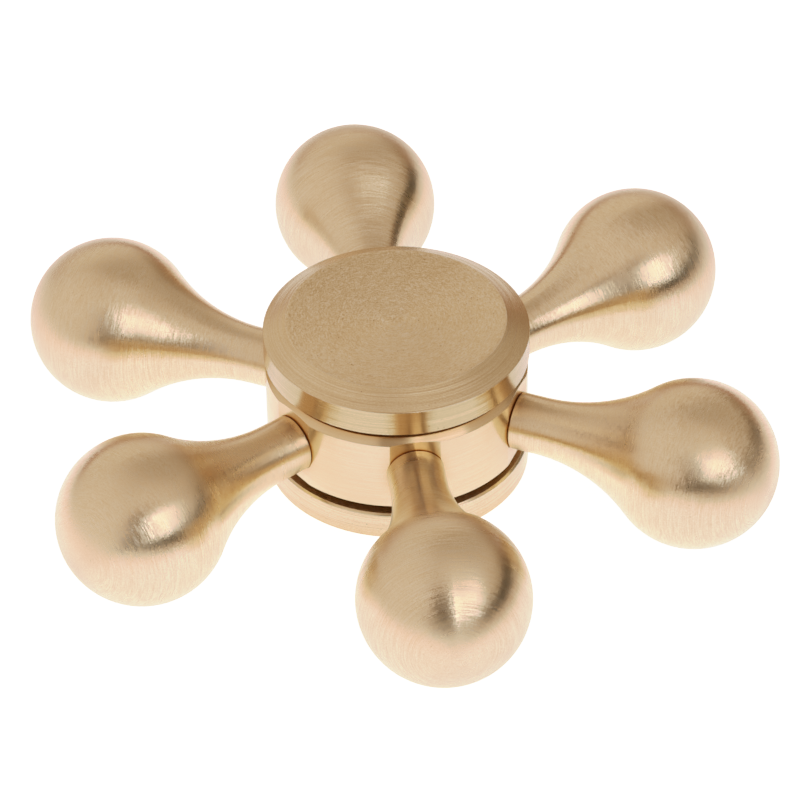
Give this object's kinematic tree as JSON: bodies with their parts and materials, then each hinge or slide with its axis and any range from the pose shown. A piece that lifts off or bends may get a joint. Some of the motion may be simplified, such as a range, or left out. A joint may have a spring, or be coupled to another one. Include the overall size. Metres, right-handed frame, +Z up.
{
  "type": "fidget spinner",
  "caption": "Solid brass fidget spinner: drop-shaped arms round a hub ring that spins on a ball bearing between two screwed-together finger caps.",
  "frame": {"origin": "centre of the ball bearing, which is the centre of the whole spinner", "axes": "+Z up along the spin axis; one arm points along -Y and the others follow round every 60 degrees"},
  "size_m": [0.0548, 0.0612, 0.0142],
  "materials": {
    "cap_brass": "fine turned, satin",
    "ring_brass": "fine turned, bright",
    "arm_brass": "brushed round each arm's own axis, satin",
    "race_steel": "ground bearing steel",
    "ball_steel": "polished bearing steel",
    "sheet_steel": "stamped sheet"
  },
  "bodies": {
    "grip": {"top_cap": "cap_brass", "bottom_cap": "cap_brass", "bearing_inner_race": "race_steel"},
    "rotor": {"hub_ring": "ring_brass", "arm_1": "arm_brass", "arm_2": "arm_brass", "arm_3": "arm_brass", "arm_4": "arm_brass", "arm_5": "arm_brass", "arm_6": "arm_brass", "bearing_outer_race": "race_steel", "bearing_shield_top": "sheet_steel", "bearing_shield_bottom": "sheet_steel", "shield_clip_top": "sheet_steel", "shield_clip_bottom": "sheet_steel"},
    "ball_cage": {"bearing_cage": "sheet_steel"},
    "ball_01": {"bearing_ball_01": "ball_steel"},
    "ball_02": {"bearing_ball_02": "ball_steel"},
    "ball_03": {"bearing_ball_03": "ball_steel"},
    "ball_04": {"bearing_ball_04": "ball_steel"},
    "ball_05": {"bearing_ball_05": "ball_steel"},
    "ball_06": {"bearing_ball_06": "ball_steel"},
    "ball_07": {"bearing_ball_07": "ball_steel"},
    "ball_08": {"bearing_ball_08": "ball_steel"},
    "ball_09": {"bearing_ball_09": "ball_steel"},
    "ball_10": {"bearing_ball_10": "ball_steel"}
  },
  "joints": [
    {"name": "rotor_spin", "type": "hinge", "parent": "grip", "child": "rotor", "pos_m": [0, 0, 0], "axis": [0, 0, 1], "continuous": true},
    {"name": "cage_orbit", "type": "hinge", "parent": "grip", "child": "ball_cage", "pos_m": [0, 0, 0], "axis": [0, 0, 1], "continuous": true},
    {"name": "ball_roll_01", "type": "hinge", "parent": "ball_cage", "child": "ball_01", "pos_m": [0.00476, 0, 0], "axis": [0, 0, 1], "continuous": true},
    {"name": "ball_roll_02", "type": "hinge", "parent": "ball_cage", "child": "ball_02", "pos_m": [0.00385, 0.0028, 0], "axis": [0, 0, 1], "continuous": true},
    {"name": "ball_roll_03", "type": "hinge", "parent": "ball_cage", "child": "ball_03", "pos_m": [0.00147, 0.00453, 0], "axis": [0, 0, 1], "continuous": true},
    {"name": "ball_roll_04", "type": "hinge", "parent": "ball_cage", "child": "ball_04", "pos_m": [-0.00147, 0.00453, 0], "axis": [0, 0, 1], "continuous": true},
    {"name": "ball_roll_05", "type": "hinge", "parent": "ball_cage", "child": "ball_05", "pos_m": [-0.00385, 0.0028, 0], "axis": [0, 0, 1], "continuous": true},
    {"name": "ball_roll_06", "type": "hinge", "parent": "ball_cage", "child": "ball_06", "pos_m": [-0.00476, 0, 0], "axis": [0, 0, 1], "continuous": true},
    {"name": "ball_roll_07", "type": "hinge", "parent": "ball_cage", "child": "ball_07", "pos_m": [-0.00385, -0.0028, 0], "axis": [0, 0, 1], "continuous": true},
    {"name": "ball_roll_08", "type": "hinge", "parent": "ball_cage", "child": "ball_08", "pos_m": [-0.00147, -0.00453, 0], "axis": [0, 0, 1], "continuous": true},
    {"name": "ball_roll_09", "type": "hinge", "parent": "ball_cage", "child": "ball_09", "pos_m": [0.00147, -0.00453, 0], "axis": [0, 0, 1], "continuous": true},
    {"name": "ball_roll_10", "type": "hinge", "parent": "ball_cage", "child": "ball_10", "pos_m": [0.00385, -0.0028, 0], "axis": [0, 0, 1], "continuous": true}
  ],
  "couplings": [
    {"joint": "cage_orbit", "follows": "rotor_spin", "ratio": 0.58333},
    {"joint": "ball_roll_01", "follows": "rotor_spin", "ratio": 2.9167},
    {"joint": "ball_roll_02", "follows": "rotor_spin", "ratio": 2.9167},
    {"joint": "ball_roll_03", "follows": "rotor_spin", "ratio": 2.9167},
    {"joint": "ball_roll_04", "follows": "rotor_spin", "ratio": 2.9167},
    {"joint": "ball_roll_05", "follows": "rotor_spin", "ratio": 2.9167},
    {"joint": "ball_roll_06", "follows": "rotor_spin", "ratio": 2.9167},
    {"joint": "ball_roll_07", "follows": "rotor_spin", "ratio": 2.9167},
    {"joint": "ball_roll_08", "follows": "rotor_spin", "ratio": 2.9167},
    {"joint": "ball_roll_09", "follows": "rotor_spin", "ratio": 2.9167},
    {"joint": "ball_roll_10", "follows": "rotor_spin", "ratio": 2.9167}
  ]
}
